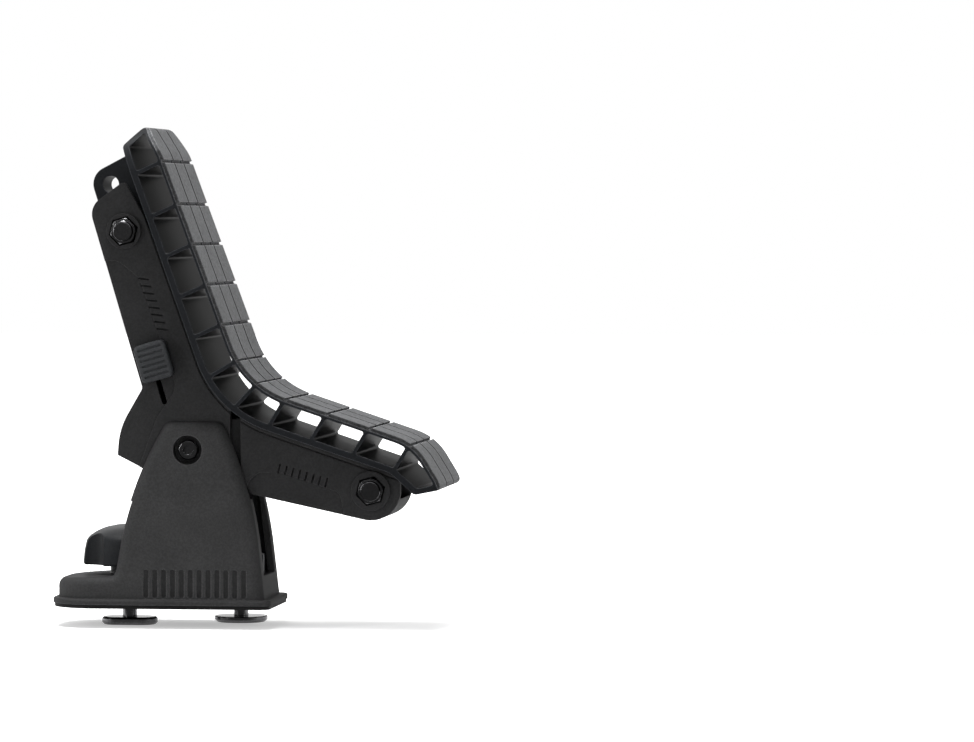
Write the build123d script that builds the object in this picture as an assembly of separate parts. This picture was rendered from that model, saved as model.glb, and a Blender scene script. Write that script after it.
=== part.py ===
from build123d import *
from math import atan2, cos, degrees, hypot, radians, sin, tan
import os

# Kayak saddle carrier, in millimetres. X points towards the kayak, Y runs across the saddle and Z up.
# The origin lies on the bar, under the base pad, midway between the two T-bolts.

# Clearances
move_gap = 0.3          # between pieces that move against each other
seat_gap = 0.05         # between pieces that are fastened together
bore_play = 0.05        # radial, in every bore
stem_play = 0.5         # radial, round the T-bolts where they pass the base
arm_play = 0.5          # between the arms and the tower's cheeks

# Width of the arms and the walls beside them
arm_half = 24.0
arm_wall = 4.0
cheek_foot = 6.5        # thickness of a cheek at the flange
cheek_crown = 4.1       # and at the top
bay_step = 2.8          # by which the two bays are wider than the slot for the arms
root_thickness = 4.0
blade_inset = 1.4       # from the sector's side to the blade's side

# Base, in plan
flange_left = 72.0
flange_right = 52.0
flange_left_round = 27.0
flange_right_round = 6.0
ledge_inset = 3.0
flange_top = 5.0
ledge_top = 17.5
ledge_low = 15.8        # height at the outer end
ledge_round = 5.0

# Rubber pad under the base
pad_sheet = 2.0
pad_inset = 0.7

# Tower
tower_top = 102.3
tower_left_round = 190.0
tower_right_round = 225.0
tower_corner = 6.5
tower_foot_round = 4.0
end_wall = 4.0
end_frame_top = 59.8
sill = 17.5
window_half = 18.0
shelf_thickness = 7.0
pylon_left = -3.0
pylon_right = 9.0
tower_foot_left = -34.9
tower_waist_x = -27.0
tower_waist_z = 64.5

# Flutes at the foot of both faces
flute_count = 12
flute_pitch = 4.9
flute_width = 3.2
flute_depth = 0.6
panel_depth = 0.6
flute_start = -16.5
flute_foot = 0.8        # from the flange to the flutes
flute_top = 21.6

# Main pivot
pivot_x = 6.2
pivot_z = 86.5
cup_outer = 11.5
cup_floor = 2.3
socket_recess = 8.0
dome_recess = 9.0
sleeve_outer = 6.0
sleeve_bore = 4.1
hub_washer_outer = 15.0
hub_washer_thickness = 1.0
washer_play = 0.1       # on each side of the thrust washers

# Long arm
arm_lean = 16.7
arm_back_wall = 3.5
arm_relief = 1.0
upper_x = -29.5
upper_z = 205.5
lobe_radius = 40.0
lobe_stop = 20.8        # distance of the lobe's flat edge from the pivot
tilt_back = 26.0
stop_ease = 1.0         # degrees by which the lobe's flat falls away from its foot
rim_inset = 2.0         # from the arms' front edge to the groove that sets off their rim
rim_groove = 1.0
rim_depth = 0.8
louvre_width = 1.0
louvre_depth = 0.6
lobe_flat = 33.9
hub_right = 29.0
hub_round = 22.2

# Short arm
lower_x = 106.3
lower_z = 64.7
short_end_radius = 16.1
short_left = 34.6
short_lean = 12.2
short_heel_x = 40.2
root_hub = 14.0

# Latch
sector_radius = 32.0
notch_width = 4.6
notch_depth = 7.0
notch_count = 3
sector_hub = 13.0
pin_radius = 2.5
pin_y = 8.0
pin_depth = 11.5
pin_height = 7.5
blade_thickness = 4.0
blade_rest = 33.5       # distance of the blade's nose from the pivot when it is drawn up
blade_top = 58.0
latch_screw_r = 50.0
latch_screw_t = -5.6
latch_screw_radius = 1.2
slot_foot = 27.5
slider_reach = 7.0
slider_left = -13.0
slider_right = 5.2
slider_foot = 41.0
slider_top = 62.0
slider_grooves = 6

# Saddle
pad_half = 42.0
pad_thickness = 19.8
pad_gap = 1.2           # between the arms and the back of the saddle
upper_lean = 19.6
lower_slope = 18.6
elbow_x = 23.72
elbow_z = 107.5
elbow_radius = 60.0
elbow_fill = 2.0        # by which the tread is fuller in the elbow
front_radius = 50.0
upper_leg = 153.0
lower_leg = 101.0
top_round = 22.0
back_strip = 3.5
cell_front = 3.4        # from the tread's surface to the cells
end_strip = 3.2
rib_thickness = 2.0
cell_round = 1.2
tread_thickness = 2.0
block_height = 1.4
row_gap = 1.2
row_chamfer = 1.4
column_gap = 1.3
column_y = 14.0
upper_row_start = -14.5
upper_row_pitch = 23.1
upper_row_count = 4
top_row = -108.5
lower_row_start = 5.2
lower_row_pitch = 24.1
lower_row_count = 4
lug_half = 12.5
upper_lug_radius = 11.0
lower_lug_radius = 10.5
eye_x = -39.0
eye_z = 231.2
eye_radius = 4.5
eye_outer = 9.7

# Fasteners
m8_radius = 4.0
m8_nut_flats = 13.0
m8_nut_height = 5.0
upper_collar = 9.6
lower_collar = 10.7
collar_height = 1.5
nut_recess = 2.4
button_radius = 6.75
button_height = 3.8
button_recess = 2.0
spacer_outer = 7.0

# T-bolts and clamps
outer_bolt_x = -31.3
inner_bolt_x = 30.8
outer_head_length = 31.0
outer_head_width = 19.0
outer_head_top = -6.5
outer_head_thickness = 4.3
inner_head_radius = 14.6
inner_head_top = -5.4
inner_head_thickness = 3.4
outer_stem_top = 37.0
inner_stem_top = 25.0
knob_radius = 25.6
knob_bottom = 22.4
knob_top = 44.3
knob_hub = 10.5
knob_lobes = 4
scallop_radius = 12.5
scallop_centre = 32.0
knob_washer_thickness = 1.0
insert_flats = 11.0
knob_insert_height = 9.0
wheel_radius = 13.0
wheel_height = 11.0
wheel_flutes = 18
wheel_insert_height = 7.0

# Sizes that follow from those above
cheek_inner = arm_half + arm_play
bay_inner = cheek_inner + bay_step
tower_half_bottom = cheek_inner + cheek_foot
tower_half_top = cheek_inner + cheek_crown
flange_half = tower_half_bottom + ledge_inset
shelf_top = pivot_z - lobe_stop - move_gap
shelf_bottom = shelf_top - shelf_thickness
knob_floor = ledge_top + seat_gap + knob_washer_thickness + move_gap
wheel_floor = sill + move_gap
washer_inner = cheek_inner - washer_play - hub_washer_thickness
arm_inside = arm_half - arm_wall
cup_reach = arm_inside - washer_play
root_inner = arm_inside - move_gap - root_thickness
sector_half = root_inner - move_gap
blade_half = sector_half - blade_inset
stop_angle = radians(tilt_back + stop_ease)
foot_x = pivot_x - lobe_stop * sin(stop_angle)
foot_z = pivot_z - lobe_stop * cos(stop_angle)
hub_z = foot_z - (hub_right - foot_x) * tan(stop_angle)
heel_x = lower_x - short_end_radius * sin(radians(short_lean))
heel_z = lower_z - short_end_radius * cos(radians(short_lean))


def outline(corners):
    # Closed face from points in order, each with the radius of its round corner.
    edges = []
    spots = []
    count = len(corners)
    for i in range(count):
        x, z, radius = corners[i]
        here = Vector(x, z)
        back = (Vector(*corners[i - 1][:2]) - here).normalized()
        ahead = (Vector(*corners[(i + 1) % count][:2]) - here).normalized()
        turn = radians(180 - back.get_angle(ahead))
        run = radius * tan(turn / 2)
        middle = (back + ahead).normalized() * (radius / cos(turn / 2) - radius) if radius else Vector()
        spots.append((here + back * run, here + middle, here + ahead * run))
    for i in range(count):
        entry, middle, leave = spots[i]
        previous = spots[i - 1][2]
        if (entry - previous).length > 0.001:
            edges.append(Line(previous, entry))
        if corners[i][2] > 0:
            edges.append(ThreePointArc(entry, middle, leave))
    return make_face(edges)


def slab(face, y_from, y_to):
    # A side view pulled across the width.
    return extrude(Plane.XZ.offset(-y_to) * face, y_to - y_from)


def rod(radius, x, z, y_from, y_to):
    return slab(Pos(x, z) * Circle(radius), y_from, y_to)


def post(radius, x, z_from, z_to):
    return Pos(x, 0, z_from) * extrude(Circle(radius), z_to - z_from)


def block(x_from, x_to, y_from, y_to, z_from, z_to):
    size = Box(x_to - x_from, y_to - y_from, z_to - z_from)
    return Pos((x_from + x_to) / 2, (y_from + y_to) / 2, (z_from + z_to) / 2) * size


def group(bodies):
    # Separate solids of the same kind, kept together as one piece.
    return Compound(children=[body.solids()[0] for body in bodies])


def inset(corners, depths):
    # Moves each edge of a clockwise outline inwards by its own depth and carries the corner radii along.
    count = len(corners)
    lines = []
    for i in range(count):
        x0, z0, r0 = corners[i]
        x1, z1, r1 = corners[(i + 1) % count]
        length = hypot(x1 - x0, z1 - z0)
        dx = (x1 - x0) / length
        dz = (z1 - z0) / length
        lines.append((x0 + dz * depths[i], z0 - dx * depths[i], dx, dz))
    moved = []
    for i in range(count):
        x0, z0, dx0, dz0 = lines[i - 1]
        x1, z1, dx1, dz1 = lines[i]
        turn = dx0 * dz1 - dz0 * dx1
        along = ((x1 - x0) * dz1 - (z1 - z0) * dx1) / turn
        depth = max(depths[i - 1], depths[i])
        radius = max(corners[i][2] - depth, 0) if turn < 0 else corners[i][2] + depth
        moved.append((x0 + along * dx0, z0 + along * dz0, radius))
    return moved


# Base

def plan_outline(inset_by):
    left = -flange_left + inset_by
    right = flange_right - inset_by
    half = flange_half - inset_by
    left_round = flange_left_round - inset_by
    right_round = flange_right_round - inset_by
    return outline([
        (left, half, left_round), (right, half, right_round),
        (right, -half, right_round), (left, -half, left_round)])


def tower_corners():
    return [
        (tower_foot_left - tower_foot_round, flange_top, 0),
        (tower_foot_left - tower_foot_round, ledge_top, 0),
        (tower_foot_left, ledge_top, tower_foot_round),
        (tower_waist_x, tower_waist_z, tower_left_round), (-6.4, tower_top, tower_corner),
        (25.4, tower_top, tower_corner), (41.2, 66.3, tower_right_round),
        (48.0, flange_top, 0)]


def taper():
    # Both faces of the base lean inwards from the flange to the tower's top.
    face = Polygon(
        (-tower_half_bottom, pad_sheet), (-tower_half_bottom, flange_top), (-tower_half_top, tower_top),
        (tower_half_top, tower_top), (tower_half_bottom, flange_top), (tower_half_bottom, pad_sheet),
        align=None)
    return extrude(Plane.YZ * face, flange_left + flange_right, both=True)


def ledge():
    # Low deck under the clamp knob. Its top falls a little towards the outer end.
    fall = (ledge_top - ledge_low) / (flange_left + tower_foot_left)
    inner = tower_foot_left + tower_corner
    profile = outline([
        (-flange_left, pad_sheet, 0), (-flange_left, ledge_low, 0),
        (inner, ledge_low + fall * (flange_left + inner), 0), (inner, pad_sheet, 0)])
    plan = Pos(0, 0, pad_sheet) * extrude(plan_outline(ledge_inset), ledge_top)
    body = plan & slab(profile, -flange_half, flange_half) & taper()
    edges = [e for e in body.edges() if e.center().Z > ledge_low - 2 and e.center().X < inner - 0.1]
    return fillet([e for e in edges if e.length > 1], ledge_round)


def tower():
    body = slab(outline(tower_corners()), -flange_half, flange_half) & taper()
    right_edges = [e for e in body.edges()
                   if e.center().X > 30 and abs(e.center().Y) > 20 and e.length > 40]
    body = fillet(right_edges, tower_corner)
    return body


def flutes(side):
    face = Sketch()
    for i in range(flute_count):
        x = flute_start + i * flute_pitch
        lower = flange_top + flute_foot + flute_width / 2
        upper = flute_top - flute_width / 2
        face += Pos(x, (lower + upper) / 2) * SlotCenterToCenter(upper - lower, flute_width, rotation=90)
    outer = tower_half_bottom + 1
    if side < 0:
        return slab(face, -outer, -tower_half_bottom + flute_depth)
    return slab(face, tower_half_bottom - panel_depth - flute_depth, outer)


def flute_panel():
    # The rear face has its flutes in an arched recess.
    width = flute_pitch * flute_count + 1.5
    centre = flute_start + flute_pitch * (flute_count - 1) / 2
    face = outline([
        (centre - width / 2, flange_top, 0), (centre - width / 2, flute_top + 1.5, 5.0),
        (centre + width / 2, flute_top + 1.5, 5.0), (centre + width / 2, flange_top, 0)])
    return slab(face, tower_half_bottom - panel_depth, tower_half_bottom + 1)


def base_housing():
    body = Pos(0, 0, pad_sheet) * extrude(plan_outline(0), flange_top - pad_sheet)
    body = fillet(body.edges().group_by(Axis.Z)[-1], 1.0)
    body += ledge() + tower()
    # Bay for the clamp knob, bay for the thumb wheel, and the slot for the arms above them.
    body -= block(-flange_left, pylon_left, -bay_inner, bay_inner, ledge_top, shelf_bottom)
    wheel_bay = slab(outline([
        (pylon_right, sill, 0), (pylon_right, shelf_top, 0),
        (41.2 - end_wall, 66.3, 0), (48.0 - end_wall, flange_top, 0), (47.2 - end_wall, sill, 0)]),
        -bay_inner, bay_inner)
    body -= wheel_bay & block(pylon_right, flange_right, -bay_inner, bay_inner, sill, shelf_bottom)
    body -= block(-flange_left, flange_right, -cheek_inner, cheek_inner, shelf_top, tower_top + 1)
    body -= block(pylon_right, flange_right, -cheek_inner, cheek_inner, end_frame_top, tower_top + 1)
    body -= wheel_bay & block(pylon_right, flange_right, -cheek_inner, cheek_inner, sill, end_frame_top)
    body -= block(pylon_right, flange_right, -window_half, window_half, sill, end_frame_top + 1)
    for side in (-1, 1):
        near = sorted((side * cup_reach, side * (cheek_inner + 1)))
        body += rod(cup_outer, pivot_x, pivot_z, *near)
        recess = dome_recess if side > 0 else socket_recess
        deep = sorted((side * (cup_reach + cup_floor), side * flange_half))
        body -= rod(recess, pivot_x, pivot_z, *deep)
        body -= flutes(side)
    body -= rod(m8_radius + bore_play, pivot_x, pivot_z, -flange_half, flange_half)
    body -= flute_panel()
    body -= post(m8_radius + stem_play, outer_bolt_x, 0, ledge_top + 1)
    body -= post(m8_radius + stem_play, inner_bolt_x, 0, ledge_top + 1)
    hole = post(pin_radius + bore_play, pivot_x, shelf_top - pin_depth - 0.5, shelf_top + 1)
    for y in (-pin_y, pin_y):
        body -= Pos(0, y, 0) * hole
    return body


def base_pad():
    body = extrude(plan_outline(pad_inset), pad_sheet)
    for x in (outer_bolt_x, inner_bolt_x):
        body -= post(m8_radius + 2 * stem_play, x, -1, pad_sheet + 1)
    return body


def latch_frame(face, angle):
    # Places a face drawn with its y axis pointing away from the pivot.
    return Pos(pivot_x, pivot_z) * Rot(0, 0, angle) * face


def lock_sector():
    reach = 3 * sector_radius
    fan = Circle(sector_radius) & Polygon(
        (0, 0), (reach * sin(radians(12)), reach * cos(radians(12))), (0, reach),
        (-reach, reach), (-reach, reach * cos(radians(62)) / sin(radians(62))), align=None)
    face = Pos(pivot_x, pivot_z) * (fan + Circle(sector_hub))
    foot_height = pivot_z - 10 - shelf_top
    face += Pos(pivot_x - 0.2, shelf_top + seat_gap + foot_height / 2) * Rectangle(12.0, foot_height)
    face -= Pos(pivot_x, pivot_z) * Circle(sleeve_outer + bore_play)
    for i in range(notch_count):
        angle = arm_lean + i * tilt_back / (notch_count - 1)
        notch = Pos(0, sector_radius - notch_depth / 2 + 1) * Rectangle(notch_width, notch_depth + 2)
        face -= latch_frame(notch, angle)
    body = slab(face, -sector_half, sector_half)
    hole = post(pin_radius + bore_play, pivot_x, shelf_top - 1, shelf_top + pin_height + 0.5)
    for y in (-pin_y, pin_y):
        body -= Pos(0, y, 0) * hole
    return body


def sector_pins():
    pin = post(pin_radius, pivot_x, shelf_top - pin_depth, shelf_top + pin_height)
    return group([Pos(0, y, 0) * pin for y in (-pin_y, pin_y)])


def pivot_sleeve():
    half = cup_reach - seat_gap
    body = rod(sleeve_outer, pivot_x, pivot_z, -half, half)
    return body - rod(sleeve_bore, pivot_x, pivot_z, -half, half)


def dome_head(radius, height, socket=0):
    # Button head that points along +Z from its seat at zero.
    ball = (radius ** 2 + height ** 2) / (2 * height)
    body = Pos(0, 0, height - ball) * Sphere(ball)
    body &= Pos(0, 0, height / 2) * Box(2 * radius, 2 * radius, height)
    body &= extrude(Circle(radius - 0.1), height)
    if socket:
        body -= Pos(0, 0, height - 2.2) * extrude(RegularPolygon(socket / 2, 6, major_radius=False), 3)
    return body


def along_y(body, x, y, z, side):
    # Turns a piece that points along +Z to point along +Y or -Y.
    return Pos(x, y, z) * Rot(-90 * side, 0, 0) * body


def pivot_bolt():
    seat = cup_reach + cup_floor + seat_gap
    thread = m8_radius - 1.0
    body = along_y(dome_head(dome_recess - 0.7, 5.2), pivot_x, seat, pivot_z, 1)
    body += rod(m8_radius, pivot_x, pivot_z, 2.0, seat + 1)
    body += rod(thread, pivot_x, pivot_z, -15.0, 3.0)
    return body


def pivot_nut():
    seat = cup_reach + cup_floor + seat_gap
    head = extrude(Circle(5.35), 5.0)
    head = chamfer(head.edges().group_by(Axis.Z)[-1], 0.6)
    head -= Pos(0, 0, 1.8) * extrude(RegularPolygon(2.6, 6, major_radius=False), 4)
    body = along_y(head, pivot_x, -seat, pivot_z, -1)
    body += rod(m8_radius, pivot_x, pivot_z, -seat - 0.5, 1.8)
    body -= rod(m8_radius - 1.0 + bore_play, pivot_x, pivot_z, -16.0, 3.0)
    return body


def hub_washers():
    ring = Pos(pivot_x, pivot_z) * (Circle(hub_washer_outer) - Circle(cup_outer + washer_play))
    near = slab(ring, -cheek_inner + washer_play, -washer_inner)
    far = slab(ring, washer_inner, cheek_inner - washer_play)
    return group([near, far])


def knob_washer():
    bottom = ledge_top + seat_gap
    body = post(knob_hub, outer_bolt_x, bottom, bottom + knob_washer_thickness)
    return body - post(m8_radius + stem_play, outer_bolt_x, 0, knob_floor)


# Saddle path: depth is measured from the back, and run from the end of the upper straight

half_turn = radians(90 - upper_lean - lower_slope) / 2
elbow_tangent = elbow_radius * tan(half_turn)
elbow_run = elbow_radius * 2 * half_turn
up_x = -sin(radians(upper_lean))
up_z = cos(radians(upper_lean))
down_x = cos(radians(lower_slope))
down_z = -sin(radians(lower_slope))


def upper(reach, depth):
    return elbow_x + up_x * reach + up_z * depth, elbow_z + up_z * reach - up_x * depth


def lower(reach, depth):
    return elbow_x + down_x * reach - down_z * depth, elbow_z + down_z * reach + down_x * depth


def pad_point(run, depth):
    if run < 0:
        return upper(elbow_tangent - run, depth)
    if run > elbow_run:
        return lower(elbow_tangent + run - elbow_run, depth)
    centre_x, centre_z = upper(elbow_tangent, elbow_radius)
    angle = radians(180 + upper_lean) + run / elbow_radius
    reach = elbow_radius - depth
    return centre_x + reach * cos(angle), centre_z + reach * sin(angle)


def saddle_corners():
    # Clockwise from the top of the back, over the tread and round the nose.
    corner_x, corner_z = upper(pad_thickness * tan(half_turn), pad_thickness)
    return [
        (*upper(upper_leg, 0), 2.5),
        (*upper(upper_leg + 7.7, pad_thickness - 3.9), 4.0),
        (*upper(upper_leg - 11.0, pad_thickness), 30.0),
        (corner_x + down_x * elbow_fill, corner_z + down_z * elbow_fill, front_radius),
        (*lower(lower_leg + 8.0, pad_thickness), 31.0),
        (*lower(lower_leg + 25.6, 5.0), 13.0),
        (*lower(lower_leg + 29.4, 0.6), 2.5),
        (*lower(lower_leg + 16.1, -7.0), 3.0),
        (*lower(lower_leg, 0), 12.0),
        (elbow_x, elbow_z, elbow_radius)]


def saddle_face(front=0.0, end=0.0, back=0.0):
    depths = [end, front, front, front, front, front, end, back, back, back]
    return outline(inset(saddle_corners(), depths))


def saddle_side(gap):
    # All that lies on the saddle's side of a line that runs behind its back at this gap.
    far = 400.0
    return outline([
        (*upper(far, -gap), 0), (*upper(far, far), 0), (*lower(far, far), 0),
        (*lower(far, -gap), 0),
        (*upper(-gap * tan(half_turn), -gap), elbow_radius + gap)])


def rim_line():
    # Band in which the arms have the groove along their rim.
    start = pad_gap + rim_inset
    return saddle_side(start + rim_groove) - saddle_side(start)


def rounded_top():
    # The upper end of the saddle has large round corners when seen square to its face.
    tip = upper_leg + 7.7
    plate = outline([
        (-pad_half, tip, top_round), (pad_half, tip, top_round),
        (pad_half, -2 * upper_leg, 0), (-pad_half, -2 * upper_leg, 0)])
    frame = Plane(origin=(elbow_x, 0, elbow_z), x_dir=(0, 1, 0), z_dir=(up_z, 0, -up_x))
    return extrude(frame * plate, 4 * upper_leg, both=True)


def rows():
    # Each row gap with the lean of its rib, as the shift of the rib's root along the back.
    found = []
    for i in range(upper_row_count):
        found.append((upper_row_start - i * upper_row_pitch, 1.8))
    found.append((top_row, 1.8))
    found.append((0.19 * elbow_run, 0.2))
    found.append((0.655 * elbow_run, -2.6))
    for i in range(lower_row_count):
        found.append((elbow_run + lower_row_start + i * lower_row_pitch, -4.8))
    return found


def strip(start, end, width):
    # Straight bar between two points.
    dx = end[0] - start[0]
    dz = end[1] - start[1]
    bar = Rectangle(hypot(dx, dz), width)
    return Pos((start[0] + end[0]) / 2, (start[1] + end[1]) / 2) * Rot(0, 0, degrees(atan2(dz, dx))) * bar


def rounded(face, radius):
    # Shrinking a face and growing it again leaves round corners.
    core = offset(face, amount=-radius, kind=Kind.ARC)
    return offset(core, amount=radius, kind=Kind.ARC)


def cells():
    inner = saddle_face(cell_front, end_strip, back_strip)
    for run, lean in rows():
        inner -= strip(pad_point(run + lean, -1.0), pad_point(run, pad_thickness + 1), rib_thickness)
    return [rounded(face, cell_round) for face in inner.faces() if face.area > 20]


def upper_lug():
    near = Pos(*upper(118.0, 1.0)) * Circle(1.0)
    far = Pos(*upper(149.0, 1.0)) * Circle(1.0)
    ear = Pos(eye_x, eye_z) * Circle(eye_outer)
    boss = Pos(upper_x, upper_z) * Circle(upper_lug_radius)
    return make_hull(near.edges() + far.edges() + ear.edges() + boss.edges())


def lower_lug():
    near = Pos(*lower(68.0, 1.0)) * Circle(1.0)
    far = Pos(*lower(96.0, 1.0)) * Circle(1.0)
    boss = Pos(lower_x, lower_z) * Circle(lower_lug_radius)
    return make_hull(near.edges() + far.edges() + boss.edges())


def saddle_web():
    body = slab(saddle_face(front=tread_thickness), -pad_half, pad_half)
    for cell in cells():
        body -= slab(cell, -pad_half - 1, pad_half + 1)
    body &= rounded_top()
    lugs = slab(upper_lug(), -lug_half, lug_half) + slab(lower_lug(), -lug_half, lug_half)
    inside = slab(saddle_face(back=back_strip - 0.5, front=tread_thickness), -pad_half, pad_half)
    body += lugs - inside
    body -= rod(eye_radius, eye_x, eye_z, -lug_half - 1, lug_half + 1)
    body -= rod(m8_radius + bore_play, upper_x, upper_z, -lug_half - 1, lug_half + 1)
    body -= rod(m8_radius + bore_play, lower_x, lower_z, -lug_half - 1, lug_half + 1)
    return body


def surface_depth(face, run):
    # Depth of the tread's surface at this run, closed in on by halves.
    inside = pad_thickness - 10.0
    outside = pad_thickness + 10.0
    for i in range(14):
        middle = (inside + outside) / 2
        if face.is_inside(Vector(*pad_point(run, middle))):
            inside = middle
        else:
            outside = middle
    return inside


def saddle_tread():
    whole = saddle_face()
    body = slab(whole - saddle_face(front=tread_thickness), -pad_half, pad_half)
    groove = slab(saddle_face() - saddle_face(front=block_height), -column_gap / 2, column_gap / 2)
    for y in (-column_y, column_y):
        body -= Pos(0, y, 0) * groove
    for run, lean in rows():
        depth = surface_depth(whole.faces()[0], run)
        top = depth + 1.0
        floor = depth - block_height
        gap = Polygon(
            pad_point(run - row_gap / 2, floor), pad_point(run + row_gap / 2, floor),
            pad_point(run + row_gap / 2 + row_chamfer, top), pad_point(run - row_gap / 2, top), align=None)
        body -= slab(gap, -pad_half - 1, pad_half + 1)
    return body & rounded_top()


# Arms

def long_arm_back():
    # Corners of the long arm from the tip of the lobe's flat up the back edge to the peak.
    return [
        (foot_x - lobe_flat * cos(stop_angle), foot_z + lobe_flat * sin(stop_angle), 1.0),
        (-32.3, 98.0, lobe_radius),
        (-19.6, 119.9, 3.0),
        (-48.8, 218.6, 10.0),
        (-29.3, 232.9, 2.5)]


def long_arm_face():
    body = outline(long_arm_back() + [
        (-18.4, 213.5, 20.0), (hub_right, 92.0, 0), (hub_right, hub_z, hub_round)])
    body += outline([
        (-19.0, 150.0, 0), (hub_right, 150.0, 0), (hub_right, hub_z + 40, 0), (0, hub_z + 40, 0)])
    return body - saddle_side(pad_gap)


def long_arm_channel():
    # Space between the two side walls, open towards the saddle and round the pivot.
    wall = arm_back_wall
    depths = [wall, wall, wall, wall, -60.0, -60.0, wall]
    inner = outline(inset(long_arm_back() + [(-18.4, 213.5, 0), (hub_right + 30, 60.0, 0)], depths))
    open_pivot = outline([(-14.0, 40.0, 0), (-14.0, 108.0, 0), (80.0, 108.0, 0), (80.0, 40.0, 0)])
    open_top = outline([(-70.0, 212.0, 0), (-70.0, 250.0, 0), (20.0, 250.0, 0), (20.0, 212.0, 0)])
    return inner + open_pivot + open_top


def long_arm_relief():
    # The back edge and the lobe lie lower than the side next to the saddle and round the pivot.
    return outline([
        (-60.0, 188.0, 0), (-33.0, 189.5, 8.0), (-21.0, 180.0, 14.0), (-0.5, 120.0, 10.0),
        (-11.5, 104.0, 16.0), (-24.0, 70.0, 0), (-60.0, 60.0, 0)])


def louvres(start, end, count, length, tilt):
    # Short slots in a row from start to end.
    face = Sketch()
    for i in range(count):
        share = i / (count - 1)
        x = start[0] + (end[0] - start[0]) * share
        z = start[1] + (end[1] - start[1]) * share
        face += Pos(x, z) * SlotOverall(length, louvre_width, rotation=tilt)
    return face


def side_cuts(face, depth):
    # The same shallow cut in both outer sides of an arm.
    outer = arm_half + 2
    return slab(face, arm_half - depth, outer) + slab(face, -outer, -arm_half + depth)


def nut_seat(radius, x, z):
    # Raised collar round the nut, on the near side.
    return rod(radius, x, z, -arm_half - collar_height, -arm_half + arm_wall)


def nut_pocket(x, z):
    hexagon = RegularPolygon(m8_nut_flats / 2 + 0.8, 6, major_radius=False, rotation=15)
    return slab(Pos(x, z) * hexagon, -arm_half - 5, -arm_half + nut_recess)


def bolt_holes(x, z):
    body = rod(m8_radius + bore_play, x, z, -arm_half - 1, arm_half + 1)
    body += rod(button_radius + 0.85, x, z, arm_half - button_recess, arm_half + 1)
    return body + nut_pocket(x, z)


def long_arm():
    face = long_arm_face()
    body = slab(face, -arm_half, arm_half)
    body -= slab(long_arm_channel(), -arm_inside, arm_inside)
    body -= side_cuts(long_arm_relief() & face, arm_relief)
    body -= side_cuts(louvres((-18.8, 179.5), (-8.3, 152.0), 8, 6.5, -6), arm_relief + louvre_depth)
    body -= side_cuts(rim_line() & face, rim_depth)
    washer_seat = Pos(pivot_x, pivot_z) * Circle(hub_washer_outer + move_gap)
    body -= side_cuts(washer_seat, arm_half - washer_inner + washer_play)
    body += nut_seat(upper_collar, upper_x, upper_z)
    body -= bolt_holes(upper_x, upper_z)
    body -= rod(cup_outer + bore_play, pivot_x, pivot_z, -arm_half - 1, arm_half + 1)
    slot_top = latch_screw_r + latch_screw_radius + 0.6
    slot = Pos(latch_screw_t, (slot_foot + slot_top) / 2) * SlotOverall(
        slot_top - slot_foot, 2 * latch_screw_radius + 0.6, rotation=90)
    body -= slab(latch_frame(slot, arm_lean), -arm_half - 1, -arm_inside + 1)
    return body


def short_arm_foot(inset_by, left):
    # Lower edge of the short arm, from below the lower bolt to the left end.
    lean = radians(short_lean)
    x = heel_x + inset_by * sin(lean)
    z = heel_z + inset_by * cos(lean)
    return x, z, z + (x - left) * tan(lean)


def short_arm_face():
    x, z, corner_z = short_arm_foot(0, short_heel_x)
    body = outline([
        (short_left, 118.0, 0), (lower_x + short_end_radius, 118.0, 0),
        (lower_x + short_end_radius, lower_z, 0), (lower_x, lower_z, 0), (x, z, 0),
        (short_heel_x, corner_z, 4.0), (short_left + 0.3, 74.0, 20.0)])
    body += Pos(lower_x, lower_z) * Circle(short_end_radius)
    return body - saddle_side(pad_gap)


def short_arm_channel():
    # Space between the side walls, open towards the saddle and at the outer end.
    wall = arm_back_wall
    left = short_left + wall
    x, z, corner_z = short_arm_foot(wall, short_heel_x + 2.2)
    return outline([
        (left, 118.0, 0), (160.0, 118.0, 0), (160.0, 78.0, 0),
        (lower_x + 30, z + 18, 0), (lower_x + 4, z, 6.0), (x, z, 0),
        (short_heel_x + 2.2, corner_z, 3.0), (left + 0.3, 75.0, 15.0)])


def short_arm_root():
    # Plate that reaches back to the pivot inside the long arm.
    face = outline([
        (pivot_x, pivot_z + root_hub, 0), (short_left + arm_back_wall, 104.0, 0),
        (short_left + arm_back_wall, 66.0, 0), (pivot_x, pivot_z - root_hub, 0)])
    face += Pos(pivot_x, pivot_z) * Circle(root_hub)
    face -= Pos(pivot_x, pivot_z) * Circle(sleeve_outer + bore_play)
    return face - saddle_side(pad_gap)


def short_arm():
    face = short_arm_face()
    body = slab(face, -arm_half, arm_half)
    body -= slab(short_arm_channel(), -arm_inside, arm_inside)
    relief = outline([
        (38.5, 40.0, 0), (38.5, 69.0, 5.0), (44.5, 74.5, 6.0), (57.5, 74.3, 12.0),
        (89.5, 63.5, 6.0), (93.5, 40.0, 0)])
    body -= side_cuts(relief & face, arm_relief)
    body -= side_cuts(louvres((56.0, 76.6), (81.9, 69.0), 8, 5.4, 75), arm_relief + louvre_depth)
    body -= side_cuts(rim_line() & face, rim_depth)
    for y in (root_inner, -root_inner - root_thickness):
        body += slab(short_arm_root(), y, y + root_thickness)
    body += nut_seat(lower_collar, lower_x, lower_z)
    body -= bolt_holes(lower_x, lower_z)
    return body


# Fasteners of the saddle

def cross_bolt(x, z):
    seat = arm_half - button_recess + seat_gap
    body = along_y(dome_head(button_radius, button_height, socket=5.0), x, seat, z, 1)
    end = arm_half - nut_recess + m8_nut_height - 0.5
    return body + rod(m8_radius, x, z, -end, seat + 0.5)


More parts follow.
